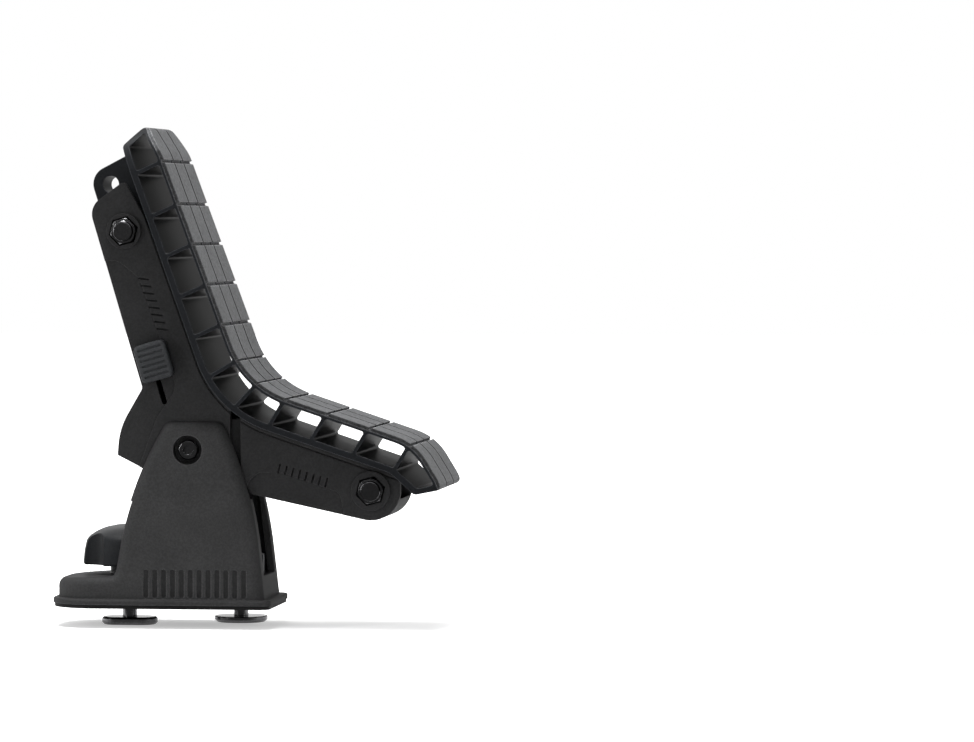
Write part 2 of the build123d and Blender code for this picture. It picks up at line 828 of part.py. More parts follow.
def cross_nut(x, z):
    hexagon = RegularPolygon(m8_nut_flats / 2, 6, major_radius=False, rotation=15)
    body = extrude(hexagon, m8_nut_height)
    body &= Pos(0, 0, -2.0) * Cone(2 * m8_nut_flats / 2 + 0.6, m8_nut_flats / 2 - 0.2, 7.4,
                                   align=(Align.CENTER, Align.CENTER, Align.MIN))
    crown = Pos(0, 0, m8_nut_height - 0.5) * extrude(Circle(5.6), 2.0)
    body += fillet(crown.edges().group_by(Axis.Z)[-1], 0.9)
    seat = arm_half - nut_recess + seat_gap
    body = along_y(body, x, -seat, z, -1)
    return body - rod(m8_radius + bore_play, x, z, -seat - m8_nut_height, -seat + 1)


def spacers(x, z):
    inner = lug_half + seat_gap
    outer = arm_inside - seat_gap
    ring = Pos(x, z) * (Circle(spacer_outer) - Circle(m8_radius + bore_play))
    return group([slab(ring, -outer, -inner), slab(ring, inner, outer)])


# Latch

def latch_blade():
    nose = Rectangle(blade_thickness, blade_top - blade_rest)
    plate = latch_frame(Pos(0, (blade_top + blade_rest) / 2) * nose, arm_lean)
    body = slab(plate, -blade_half, blade_half)
    foot = blade_top - 14.0
    inner = arm_inside - move_gap
    bridge = latch_frame(Pos(-3.75, (blade_top + foot) / 2) * Rectangle(11.5, blade_top - foot), arm_lean)
    body += slab(bridge, -inner, -blade_half + 0.5)
    hole = latch_frame(Pos(latch_screw_t, latch_screw_r) * Circle(latch_screw_radius + bore_play), arm_lean)
    return body - slab(hole, -inner - 1, 0)


def latch_screw():
    spot = Pos(latch_screw_t, latch_screw_r)
    shank = slab(latch_frame(spot * Circle(latch_screw_radius), arm_lean), -arm_half - 5.0, -blade_half + 1)
    head_from = -blade_half + 0.5 + seat_gap
    head = slab(latch_frame(spot * Circle(3.0), arm_lean), head_from, head_from + 2.2)
    return shank + head


def latch_slider():
    inner = arm_half + move_gap
    outer = arm_half + slider_reach
    face = outline([
        (slider_left, slider_foot, 3.0), (slider_left, slider_top, 3.5),
        (slider_right, slider_top, 3.5), (slider_right, slider_foot, 3.0)])
    body = slab(latch_frame(face, arm_lean), -outer, -inner)
    body = fillet(body.faces().sort_by(Axis.Y)[0].edges(), 1.6)
    middle = (slider_left + slider_right) / 2
    pitch = (slider_top - slider_foot) / (slider_grooves + 1)
    for i in range(slider_grooves):
        rib = SlotOverall(slider_right - slider_left - 4.4, 0.4 * pitch)
        groove = Pos(middle, slider_foot + (i + 1) * pitch) * rib
        body -= slab(latch_frame(groove, arm_lean), -outer - 1, -outer + 0.7)
    hole = latch_frame(Pos(latch_screw_t, latch_screw_r) * Circle(latch_screw_radius + bore_play), arm_lean)
    return body - slab(hole, -arm_half - 5.2, 0)


# Clamps

def clamp_knob():
    half = outline([
        (0, knob_bottom, 0), (knob_radius, knob_bottom, 1.2), (knob_radius - 0.7, 30.0, 30.0),
        (knob_radius - 2.3, 37.2, 7.0), (15.5, 42.4, 25.0), (6.0, knob_top, 15.0), (0, knob_top, 0)])
    body = revolve(Plane.XZ * half, Axis.Z)
    for i in range(knob_lobes):
        around = Rot(0, 0, 360 / knob_lobes * (i + 0.5))
        body -= around * Pos(scallop_centre, 0, 0) * extrude(Circle(scallop_radius), knob_top + 1)
    body += Pos(0, 0, knob_floor) * extrude(Circle(knob_hub), knob_bottom - knob_floor + 1)
    insert = RegularPolygon(insert_flats / 2 + bore_play, 6, major_radius=False)
    body -= Pos(0, 0, knob_floor - 1) * extrude(insert, knob_insert_height + 1 + bore_play)
    body -= extrude(Circle(m8_radius + 0.3), outer_stem_top + 5.0)
    return Pos(outer_bolt_x, 0, 0) * body


def hex_insert(x, bottom, height):
    body = extrude(RegularPolygon(insert_flats / 2, 6, major_radius=False), height)
    body -= extrude(Circle(m8_radius + bore_play), height)
    return Pos(x, 0, bottom) * body


def thumb_wheel():
    body = extrude(Circle(wheel_radius), wheel_height)
    body = chamfer(body.edges(), 0.8)
    for i in range(wheel_flutes):
        around = Rot(0, 0, 360 / wheel_flutes * i)
        body -= around * Pos(wheel_radius + 0.6, 0, 0) * extrude(Circle(1.4), wheel_height)
    insert = RegularPolygon(insert_flats / 2 + bore_play, 6, major_radius=False)
    body -= Pos(0, 0, -1) * extrude(insert, wheel_insert_height + 1 + bore_play)
    body -= extrude(Circle(m8_radius + 0.3), wheel_height)
    return Pos(inner_bolt_x, 0, wheel_floor) * body


def outer_t_bolt():
    head = extrude(SlotOverall(outer_head_length, outer_head_width), outer_head_thickness)
    head = chamfer(head.edges().group_by(Axis.Z)[0], 1.2)
    head = chamfer(head.edges().group_by(Axis.Z)[-1], 1.0)
    body = Pos(outer_bolt_x, 0, outer_head_top - outer_head_thickness) * head
    stem = post(m8_radius, outer_bolt_x, outer_head_top - 0.5, outer_stem_top)
    return body + chamfer(stem.edges().group_by(Axis.Z)[-1], 0.8)


def inner_t_bolt():
    head = extrude(Circle(inner_head_radius), inner_head_thickness)
    head = chamfer(head.edges().group_by(Axis.Z)[0], 1.5)
    head = chamfer(head.edges().group_by(Axis.Z)[-1], 0.4)
    body = Pos(inner_bolt_x, 0, inner_head_top - inner_head_thickness) * head
    stem = post(m8_radius, inner_bolt_x, inner_head_top - 0.5, inner_stem_top)
    return body + chamfer(stem.edges().group_by(Axis.Z)[-1], 0.8)


nodes = {
    "base_housing": base_housing,
    "base_pad": base_pad,
    "lock_sector": lock_sector,
    "sector_pins": sector_pins,
    "pivot_sleeve": pivot_sleeve,
    "pivot_bolt": pivot_bolt,
    "pivot_nut": pivot_nut,
    "hub_washers": hub_washers,
    "knob_washer": knob_washer,
    "clamp_knob": clamp_knob,
    "knob_insert": lambda: hex_insert(outer_bolt_x, knob_floor, knob_insert_height),
    "outer_t_bolt": outer_t_bolt,
    "thumb_wheel": thumb_wheel,
    "wheel_insert": lambda: hex_insert(inner_bolt_x, wheel_floor, wheel_insert_height),
    "inner_t_bolt": inner_t_bolt,
    "long_arm": long_arm,
    "short_arm": short_arm,
    "saddle_web": saddle_web,
    "saddle_tread": saddle_tread,
    "upper_bolt": lambda: cross_bolt(upper_x, upper_z),
    "upper_nut": lambda: cross_nut(upper_x, upper_z),
    "upper_spacers": lambda: spacers(upper_x, upper_z),
    "lower_bolt": lambda: cross_bolt(lower_x, lower_z),
    "lower_nut": lambda: cross_nut(lower_x, lower_z),
    "lower_spacers": lambda: spacers(lower_x, lower_z),
    "latch_slider": latch_slider,
    "latch_blade": latch_blade,
    "latch_screw": latch_screw,
}

os.makedirs("parts", exist_ok=True)
for name, make in nodes.items():
    export_step(make(), "parts/" + name + ".step")
    print("made", name)
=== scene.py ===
import math
import bpy
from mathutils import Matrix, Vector


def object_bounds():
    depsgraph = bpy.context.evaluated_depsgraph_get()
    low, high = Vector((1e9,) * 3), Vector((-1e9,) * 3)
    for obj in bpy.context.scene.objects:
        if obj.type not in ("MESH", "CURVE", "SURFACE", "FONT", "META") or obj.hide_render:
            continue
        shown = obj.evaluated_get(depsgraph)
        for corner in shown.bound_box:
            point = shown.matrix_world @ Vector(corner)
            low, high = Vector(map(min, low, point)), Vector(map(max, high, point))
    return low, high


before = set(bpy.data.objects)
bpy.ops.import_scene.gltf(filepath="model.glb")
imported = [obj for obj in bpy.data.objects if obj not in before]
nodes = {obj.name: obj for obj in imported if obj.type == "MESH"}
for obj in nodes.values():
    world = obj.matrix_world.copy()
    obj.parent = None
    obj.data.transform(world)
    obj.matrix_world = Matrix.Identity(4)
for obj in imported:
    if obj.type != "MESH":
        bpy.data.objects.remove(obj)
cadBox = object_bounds()
print("carrier loaded with", len(nodes), "nodes")

bpy.context.scene.view_settings.view_transform = "Standard"


# Small helpers

def clearSelection():
    for thing in list(bpy.context.selected_objects):
        thing.select_set(False)
    bpy.context.view_layer.objects.active = None


def setInputs(tree, node, values):
    # A value that is another node's socket is linked, and any other is set.
    for place, value in values.items():
        if isinstance(value, bpy.types.NodeSocket):
            tree.links.new(value, node.inputs[place])
        else:
            node.inputs[place].default_value = value


def addNode(tree, kind, x, y, inputs=None, **settings):
    node = tree.nodes.new(kind)
    node.location = (x, y)
    for setting, value in settings.items():
        setattr(node, setting, value)
    setInputs(tree, node, inputs or {})
    return node


def mathNode(tree, operation, x, y, first, second=None, clamp=False):
    inputs = {0: first} if second is None else {0: first, 1: second}
    return addNode(tree, "ShaderNodeMath", x, y, inputs, operation=operation, use_clamp=clamp).outputs[0]


def band(tree, value, x, y, rise, low, high, curve="SMOOTHSTEP"):
    # Level that goes from low to high as the value passes through the rise.
    limits = {"Value": value, "From Min": rise[0], "From Max": rise[1], "To Min": low, "To Max": high}
    return addNode(tree, "ShaderNodeMapRange", x, y, limits, interpolation_type=curve).outputs["Result"]


def splitAxes(tree, vector, x, y):
    return addNode(tree, "ShaderNodeSeparateXYZ", x, y, {0: vector}).outputs


def newGroup(name, inputs, outputs):
    # Shared effect with named inputs and outputs. Gives the group, what comes in and the node that ends it.
    group = bpy.data.node_groups.new(name, "ShaderNodeTree")
    for socketName, kind, value in inputs:
        socket = group.interface.new_socket(socketName, in_out="INPUT", socket_type=kind)
        if value is not None:
            socket.default_value = value
    for socketName, kind in outputs:
        group.interface.new_socket(socketName, in_out="OUTPUT", socket_type=kind)
    source = addNode(group, "NodeGroupInput", -900, 0)
    return group, source.outputs, addNode(group, "NodeGroupOutput", 600, 0)


# Effects shared by the finishes

grainValues = {
    "density": 2400.0, "roundness": 0.5,
    "noiseShare": 0.45, "noiseDetail": 3.0, "noiseRoughness": 0.6,
    "toneSize": 38.0, "toneDetail": 4.0, "toneRoughness": 0.55}


def buildMouldGrain():
    # Fine eroded grain of a moulded surface, from a cell pattern broken up by noise, and a broad tone.
    group, source, result = newGroup("mouldGrain", [
        ("Vector", "NodeSocketVector", None),
        ("Density", "NodeSocketFloat", grainValues["density"]),
        ("Roundness", "NodeSocketFloat", grainValues["roundness"])], [
        ("Height", "NodeSocketFloat"), ("Tone", "NodeSocketFloat")])
    cells = addNode(group, "ShaderNodeTexVoronoi", -600, 200, {
        "Vector": source["Vector"], "Scale": source["Density"], "Smoothness": source["Roundness"]},
        feature="SMOOTH_F1")
    noiseSize = mathNode(group, "MULTIPLY", -800, -200, source["Density"], grainValues["noiseShare"])
    noise = addNode(group, "ShaderNodeTexNoise", -600, -100, {
        "Vector": source["Vector"], "Scale": noiseSize,
        "Detail": grainValues["noiseDetail"], "Roughness": grainValues["noiseRoughness"]})
    both = mathNode(group, "ADD", -200, 100, cells.outputs["Distance"], noise.outputs[0])
    broad = addNode(group, "ShaderNodeTexNoise", -600, -350, {
        "Vector": source["Vector"], "Scale": grainValues["toneSize"],
        "Detail": grainValues["toneDetail"], "Roughness": grainValues["toneRoughness"]})
    setInputs(group, result, {
        "Height": mathNode(group, "MULTIPLY", 0, 100, both, 0.5), "Tone": broad.outputs[0]})
    return group


edgeValues = {"radius": 0.0006, "sharpness": 3.0, "samples": 4}


def buildSoftEdge():
    # Rounds sharp edges in the shading, and finds them as a mask.
    group, source, result = newGroup("softEdge", [
        ("Radius", "NodeSocketFloat", edgeValues["radius"]),
        ("Sharpness", "NodeSocketFloat", edgeValues["sharpness"])], [
        ("Normal", "NodeSocketVector"), ("Mask", "NodeSocketFloat")])
    rounding = addNode(group, "ShaderNodeBevel", -600, 100, {"Radius": source["Radius"]},
                       samples=edgeValues["samples"])
    surface = addNode(group, "ShaderNodeNewGeometry", -600, -150)
    compare = addNode(group, "ShaderNodeVectorMath", -350, 0, {
        0: rounding.outputs["Normal"], 1: surface.outputs["Normal"]}, operation="DOT_PRODUCT")
    turned = mathNode(group, "SUBTRACT", -150, 0, 1.0, compare.outputs["Value"], clamp=True)
    setInputs(group, result, {
        "Normal": rounding.outputs["Normal"],
        "Mask": mathNode(group, "MULTIPLY", 50, 0, turned, source["Sharpness"], clamp=True)})
    return group


handlingValues = {
    "size": 120.0, "cover": 0.4, "gain": 4.0,
    "stretch": (1.0, 1.0, 7.0), "turn": (0.35, 0.2, 0.6), "streakDetail": 6.0, "streakRoughness": 0.7,
    "patchSize": 24.0, "patchDetail": 2.0}


def buildHandling():
    # Faint rubbed streaks left by handling, in patches.
    group, source, result = newGroup("handling", [
        ("Vector", "NodeSocketVector", None),
        ("Size", "NodeSocketFloat", handlingValues["size"]),
        ("Cover", "NodeSocketFloat", handlingValues["cover"])], [
        ("Mask", "NodeSocketFloat")])
    stretch = addNode(group, "ShaderNodeMapping", -700, 100, {
        "Vector": source["Vector"], "Scale": handlingValues["stretch"], "Rotation": handlingValues["turn"]})
    streak = addNode(group, "ShaderNodeTexNoise", -450, 100, {
        "Vector": stretch.outputs["Vector"], "Scale": source["Size"],
        "Detail": handlingValues["streakDetail"], "Roughness": handlingValues["streakRoughness"]})
    patch = addNode(group, "ShaderNodeTexNoise", -450, -150, {
        "Vector": source["Vector"], "Scale": handlingValues["patchSize"], "Detail": handlingValues["patchDetail"]})
    joined = mathNode(group, "MULTIPLY", -200, 0, streak.outputs[0], patch.outputs[0])
    covered = mathNode(group, "MULTIPLY", 0, 0, joined, source["Cover"])
    setInputs(group, result, {
        "Mask": mathNode(group, "MULTIPLY", 200, 0, covered, handlingValues["gain"], clamp=True)})
    return group


mouldGrain = buildMouldGrain()
softEdge = buildSoftEdge()
handling = buildHandling()
print("shared effects ready")


# Finishes

surfaceValues = {
    "ior": 1.5, "sheenRoughness": 0.4, "shadeAt": 0.3, "colourAt": 0.7,
    "speckSize": 900.0, "speck": 0.12, "speckRise": (0.35, 0.65), "speckDetail": 2.0, "speckRoughness": 0.7,
    "sideFacing": (0.35, 0.75)}


def paintShadeInside(tree, shader, colour, roughness, look):
    # Walls that run across the piece get painted shade, a darker colour, and are duller; its two side faces keep their
    # colour and sheen.
    surface = addNode(tree, "ShaderNodeNewGeometry", -900, 600)
    across = splitAxes(tree, surface.outputs["True Normal"], -700, 600)["Y"]
    facing = mathNode(tree, "ABSOLUTE", -500, 600, across)
    side = band(tree, facing, -300, 600, surfaceValues["sideFacing"], 0.0, 1.0, "LINEAR")
    paintedShadeTint = addNode(tree, "ShaderNodeMix", -250, 350, {
        "Factor": side, "A": look["inside"], "B": colour}, data_type="RGBA")
    gloss = band(tree, side, -100, 600, (0.0, 1.0), look["insideSpecular"], look["specular"], "LINEAR")
    spread = addNode(tree, "ShaderNodeMix", -100, 100, {
        "Factor": side, "A": look["insideRoughness"], "B": roughness}, data_type="FLOAT")
    setInputs(tree, shader, {
        "Base Color": paintedShadeTint.outputs["Result"], "Specular IOR Level": gloss, "Roughness": spread.outputs["Result"]})


# Painted shade in the column grooves and on the tread's side faces, and a painted highlight beside the grooves.
treadShading = {
    "column": 0.014, "groove": (0.0015, 0.0021), "grooveShade": 0.06,
    "paintedHighlight": 1.35, "paintedHighlightEnd": (0.0024, 0.0044), "beyondPaintedHighlight": 0.74,
    "side": (0.0412, 0.0416), "sideShade": 0.36}


def treadLines(tree, place):
    # Painted shade in the grooves between the columns, a painted highlight beside them, and painted shade on the
    # tread's side faces.
    across = mathNode(tree, "ABSOLUTE", -1000, 800, splitAxes(tree, place, -1200, 800)["Y"])
    offset = mathNode(tree, "SUBTRACT", -850, 800, across, treadShading["column"])
    near = mathNode(tree, "ABSOLUTE", -700, 800, offset)
    groove = band(tree, near, -500, 900, treadShading["groove"], treadShading["grooveShade"], treadShading["paintedHighlight"])
    fade = band(tree, near, -500, 700, treadShading["paintedHighlightEnd"], 1.0, treadShading["beyondPaintedHighlight"])
    lines = mathNode(tree, "MULTIPLY", -300, 800, groove, fade)
    side = band(tree, across, -500, 500, treadShading["side"], 1.0, treadShading["sideShade"])
    return mathNode(tree, "MULTIPLY", -150, 800, lines, side)


# Painted shade on the flute floors.
fluteShading = {
    "first": -0.0165, "halfPitch": 0.00245, "flank": (0.0008, 0.0016), "shade": 0.55,
    "left": (-0.0193, -0.0185), "right": (0.0394, 0.0402), "foot": (0.0054, 0.0060), "top": (0.0208, 0.0218)}


def fluteShade(tree, place):
    # Painted shade on the floors of the upright flutes low on the housing.
    along, across, height = splitAxes(tree, place, -1200, 800)
    shifted = mathNode(tree, "ADD", -1000, 900, along, fluteShading["halfPitch"] - fluteShading["first"])
    step = mathNode(tree, "PINGPONG", -850, 900, shifted, fluteShading["halfPitch"])
    total = band(tree, step, -650, 900, fluteShading["flank"], 0.0, 1.0)
    edges = [
        band(tree, along, -650, 750, fluteShading["left"], 0.0, 1.0),
        band(tree, along, -650, 600, fluteShading["right"], 1.0, 0.0),
        band(tree, height, -650, 450, fluteShading["foot"], 0.0, 1.0),
        band(tree, height, -650, 300, fluteShading["top"], 1.0, 0.0)]
    for edge in edges:
        total = mathNode(tree, "MULTIPLY", -400, 600, total, edge)
    return band(tree, total, -200, 600, (0.0, 1.0), 1.0, fluteShading["shade"])


def finishMaterial(name, look):
    # Surface with grain, softened edges with a painted highlight, and roughness that varies with handling.
    material = bpy.data.materials.new(name)
    material.use_nodes = True
    tree = material.node_tree
    shader = tree.nodes["Principled BSDF"]
    setInputs(tree, shader, {
        "Specular IOR Level": look["specular"], "Metallic": look["metallic"], "IOR": surfaceValues["ior"]})
    if look.get("sheen"):
        setInputs(tree, shader, {
            "Sheen Weight": look["sheen"], "Sheen Roughness": surfaceValues["sheenRoughness"]})
    place = addNode(tree, "ShaderNodeTexCoord", -1500, 0).outputs["Object"]
    grain = addNode(tree, "ShaderNodeGroup", -1200, 100, {
        "Vector": place, "Density": look["grainDensity"], "Roundness": look["grainRoundness"]},
        node_tree=mouldGrain).outputs
    rubbed = addNode(tree, "ShaderNodeGroup", -1200, -150, {
        "Vector": place, "Size": look["rubSize"], "Cover": look["rubCover"]}, node_tree=handling).outputs
    edge = addNode(tree, "ShaderNodeGroup", -1200, -400, {
        "Radius": look["edgeRadius"], "Sharpness": look["edgeSharpness"]}, node_tree=softEdge).outputs

    tones = addNode(tree, "ShaderNodeValToRGB", -900, 300, {"Fac": grain["Tone"]})
    ends = ((surfaceValues["shadeAt"], look["shade"]), (surfaceValues["colourAt"], look["colour"]))
    for element, (position, colour) in zip(tones.color_ramp.elements, ends):
        element.position = position
        element.color = colour
    # Painted highlight along the sharp edges, mixed over the tone.
    edgeHighlightMask = mathNode(tree, "MULTIPLY", -800, 0, edge["Mask"], look["edgeHighlightShare"], clamp=True)
    edgeHighlighted = addNode(tree, "ShaderNodeMix", -550, 300, {
        "Factor": edgeHighlightMask, "A": tones.outputs["Color"], "B": look["edgeHighlightColour"]}, data_type="RGBA")
    speck = addNode(tree, "ShaderNodeTexNoise", -1200, 500, {
        "Vector": place, "Scale": look.get("speckSize", surfaceValues["speckSize"]),
        "Detail": surfaceValues["speckDetail"], "Roughness": surfaceValues["speckRoughness"]})
    depth = look.get("speck", surfaceValues["speck"])
    level = band(tree, speck.outputs[0], -900, 500, surfaceValues["speckRise"], 1.0 - depth, 1.0 + depth)
    # Painted shade and highlight lines from the look, where it gives them.
    if look.get("paintedShading"):
        level = mathNode(tree, "MULTIPLY", -100, 500, level, look["paintedShading"](tree, place))
    colourWithPaintedLight = addNode(tree, "ShaderNodeVectorMath", -350, 300, {
        0: edgeHighlighted.outputs["Result"], "Scale": level}, operation="SCALE").outputs["Vector"]

    roughness = band(tree, rubbed["Mask"], -800, -200, (0.0, 1.0), look["roughness"],
                     look["roughness"] + look["roughSpread"], "LINEAR")
    # Looks with an inside colour get painted shade on walls that run across the piece.
    if look.get("inside"):
        paintShadeInside(tree, shader, colourWithPaintedLight, roughness, look)
    else:
        setInputs(tree, shader, {"Base Color": colourWithPaintedLight, "Roughness": roughness})

    bump = addNode(tree, "ShaderNodeBump", -500, -350, {
        "Strength": look["grainStrength"], "Distance": look["grainDepth"],
        "Height": grain["Height"], "Normal": edge["Normal"]})
    setInputs(tree, shader, {"Normal": bump.outputs["Normal"]})
    return material


# In each look, the inside colour is painted shade on walls that run across the piece, and the edge colour is a painted
# highlight along sharp edges.
housingLook = {
    "colour": (0.0300, 0.0300, 0.0305, 1), "shade": (0.0245, 0.0245, 0.0250, 1),
    "specular": 0.08, "metallic": 0.0, "roughness": 0.58, "roughSpread": 0.14,
    "grainDensity": 2300.0, "grainRoundness": 0.6, "grainStrength": 0.45, "grainDepth": 0.00009,
    "rubSize": 110.0, "rubCover": 0.5, "paintedShading": fluteShade,
    "edgeRadius": 0.0010, "edgeSharpness": 2.5, "edgeHighlightShare": 0.7, "edgeHighlightColour": (0.110, 0.110, 0.112, 1),
    "inside": (0.0270, 0.0270, 0.0275, 1), "insideSpecular": 0.02, "insideRoughness": 0.62}
armLook = {
    "colour": (0.0215, 0.0215, 0.0220, 1), "shade": (0.0170, 0.0170, 0.0175, 1),
    "specular": 0.08, "metallic": 0.0, "roughness": 0.52, "roughSpread": 0.15,
    "grainDensity": 2500.0, "grainRoundness": 0.6, "grainStrength": 0.4, "grainDepth": 0.00008,
    "rubSize": 120.0, "rubCover": 0.5,
    "edgeRadius": 0.0007, "edgeSharpness": 2.5, "edgeHighlightShare": 0.4, "edgeHighlightColour": (0.080, 0.080, 0.081, 1),
    "inside": (0.0190, 0.0190, 0.0195, 1), "insideSpecular": 0.02, "insideRoughness": 0.6}
webLook = {
    "colour": (0.0085, 0.0095, 0.0112, 1), "shade": (0.0065, 0.0073, 0.0086, 1),
    "specular": 0.14, "metallic": 0.0, "roughness": 0.34, "roughSpread": 0.16,
    "grainDensity": 1700.0, "grainRoundness": 0.8, "grainStrength": 0.2, "grainDepth": 0.00006,
    "rubSize": 90.0, "rubCover": 0.55,
    "edgeRadius": 0.0009, "edgeSharpness": 2.5, "edgeHighlightShare": 0.8, "edgeHighlightColour": (0.080, 0.085, 0.094, 1),
    "inside": (0.0048, 0.0052, 0.0060, 1), "insideSpecular": 0.008, "insideRoughness": 0.40}
treadLook = {
    "colour": (0.070, 0.0715, 0.0745, 1), "shade": (0.050, 0.051, 0.0535, 1),
    "specular": 0.10, "metallic": 0.0, "roughness": 0.66, "roughSpread": 0.16,
    "grainDensity": 1900.0, "grainRoundness": 0.5, "grainStrength": 0.55, "grainDepth": 0.00012,
    "rubSize": 140.0, "rubCover": 0.6, "sheen": 0.05,
    "speckSize": 620.0, "speck": 0.3, "paintedShading": treadLines,
    "edgeRadius": 0.0010, "edgeSharpness": 3.5, "edgeHighlightShare": 0.9, "edgeHighlightColour": (0.32, 0.32, 0.33, 1)}
padLook = {
    "colour": (0.010, 0.010, 0.010, 1), "shade": (0.007, 0.007, 0.007, 1),
    "specular": 0.10, "metallic": 0.0, "roughness": 0.6, "roughSpread": 0.2,
    "grainDensity": 2100.0, "grainRoundness": 0.5, "grainStrength": 0.4, "grainDepth": 0.0001,
    "rubSize": 120.0, "rubCover": 0.5,
    "edgeRadius": 0.0005, "edgeSharpness": 2.0, "edgeHighlightShare": 0.2, "edgeHighlightColour": (0.02, 0.02, 0.02, 1)}
knobLook = {
    "colour": (0.0095, 0.0103, 0.0116, 1), "shade": (0.0076, 0.0083, 0.0094, 1),
    "specular": 0.10, "metallic": 0.0, "roughness": 0.42, "roughSpread": 0.15,
    "grainDensity": 2600.0, "grainRoundness": 0.6, "grainStrength": 0.35, "grainDepth": 0.00007,
    "rubSize": 110.0, "rubCover": 0.5,
    "edgeRadius": 0.0008, "edgeSharpness": 2.5, "edgeHighlightShare": 0.3, "edgeHighlightColour": (0.050, 0.052, 0.055, 1)}
sliderLook = {
    "colour": (0.0330, 0.0345, 0.0370, 1), "shade": (0.0270, 0.0285, 0.0305, 1),
    "specular": 0.11, "metallic": 0.0, "roughness": 0.50, "roughSpread": 0.12,
    "grainDensity": 2600.0, "grainRoundness": 0.6, "grainStrength": 0.45, "grainDepth": 0.00008,
    "rubSize": 150.0, "rubCover": 0.6,
    "edgeRadius": 0.0006, "edgeSharpness": 2.5, "edgeHighlightShare": 0.35, "edgeHighlightColour": (0.060, 0.061, 0.063, 1)}
washerLook = {
    "colour": (0.012, 0.012, 0.0125, 1), "shade": (0.009, 0.009, 0.0095, 1),
    "specular": 0.14, "metallic": 0.0, "roughness": 0.32, "roughSpread": 0.15,
    "grainDensity": 3200.0, "grainRoundness": 0.8, "grainStrength": 0.15, "grainDepth": 0.00004,
    "rubSize": 130.0, "rubCover": 0.4,
    "edgeRadius": 0.0003, "edgeSharpness": 2.0, "edgeHighlightShare": 0.2, "edgeHighlightColour": (0.03, 0.03, 0.031, 1)}
blackSteelLook = {
    "colour": (0.130, 0.130, 0.134, 1), "shade": (0.095, 0.095, 0.098, 1),
    "specular": 0.55, "metallic": 1.0, "roughness": 0.13, "roughSpread": 0.08,
    "grainDensity": 3600.0, "grainRoundness": 0.9, "grainStrength": 0.04, "grainDepth": 0.00003,
    "rubSize": 260.0, "rubCover": 0.6,
    "edgeRadius": 0.0005, "edgeSharpness": 2.5, "edgeHighlightShare": 0.5, "edgeHighlightColour": (0.40, 0.40, 0.41, 1)}
brightSteelLook = {
    "colour": (0.58, 0.59, 0.60, 1), "shade": (0.46, 0.47, 0.48, 1),
    "specular": 0.5, "metallic": 1.0, "roughness": 0.28, "roughSpread": 0.2,
    "grainDensity": 3000.0, "grainRoundness": 0.9, "grainStrength": 0.15, "grainDepth": 0.00003,
    "rubSize": 300.0, "rubCover": 0.6,
    "edgeRadius": 0.0003, "edgeSharpness": 2.0, "edgeHighlightShare": 0.4, "edgeHighlightColour": (0.72, 0.72, 0.73, 1)}

housingPlastic = finishMaterial("housingPlastic", housingLook)
armPlastic = finishMaterial("armPlastic", armLook)
webRubber = finishMaterial("webRubber", webLook)
treadRubber = finishMaterial("treadRubber", treadLook)
padRubber = finishMaterial("padRubber", padLook)
knobPlastic = finishMaterial("knobPlastic", knobLook)
sliderPlastic = finishMaterial("sliderPlastic", sliderLook)
washerPlastic = finishMaterial("washerPlastic", washerLook)
blackSteel = finishMaterial("blackSteel", blackSteelLook)
brightSteel = finishMaterial("brightSteel", brightSteelLook)

nodeFinishes = {
    "base_housing": housingPlastic, "base_pad": padRubber,
    "lock_sector": brightSteel, "sector_pins": brightSteel, "pivot_sleeve": brightSteel,
    "pivot_bolt": blackSteel, "pivot_nut": blackSteel,
    "hub_washers": washerPlastic, "knob_washer": washerPlastic,
    "clamp_knob": knobPlastic, "knob_insert": brightSteel, "outer_t_bolt": blackSteel,
    "thumb_wheel": knobPlastic, "wheel_insert": brightSteel, "inner_t_bolt": blackSteel,
    "long_arm": armPlastic, "short_arm": armPlastic,
    "saddle_web": webRubber, "saddle_tread": treadRubber,
    "upper_bolt": blackSteel, "upper_nut": blackSteel, "upper_spacers": washerPlastic,
    "lower_bolt": blackSteel, "lower_nut": blackSteel, "lower_spacers": washerPlastic,
    "latch_slider": sliderPlastic, "latch_blade": brightSteel, "latch_screw": brightSteel}

for nodeName, material in nodeFinishes.items():
    slots = nodes[nodeName].data.materials
    slots.clear()
    slots.append(material)
print("finishes on", len(nodeFinishes), "nodes")


# Studio

studio = {
    "floorLevel": cadBox[0][2], "floorGap": 0.0001, "floorSize": 14.0,
    "floorColour": (0.86, 0.86, 0.86, 1), "lightColour": (1, 1, 1, 1),
    "nearGlow": 0.42, "farGlow": 1.05, "glowRise": (0.45, 1.3), "worldLight": 0.33,
    "roomLight": 0.12, "floorRoom": (-0.045, -0.012), "worldRoom": (-0.3, 0.5)}


def seenDirectly(tree):
    # One for rays from the camera and for what gloss and glass show.
    ray = addNode(tree, "ShaderNodeLightPath", -500, -400).outputs
    seen = mathNode(tree, "MAXIMUM", -250, -400, ray["Is Camera Ray"], ray["Is Glossy Ray"])
    return mathNode(tree, "MAXIMUM", -100, -400, seen, ray["Is Transmission Ray"])


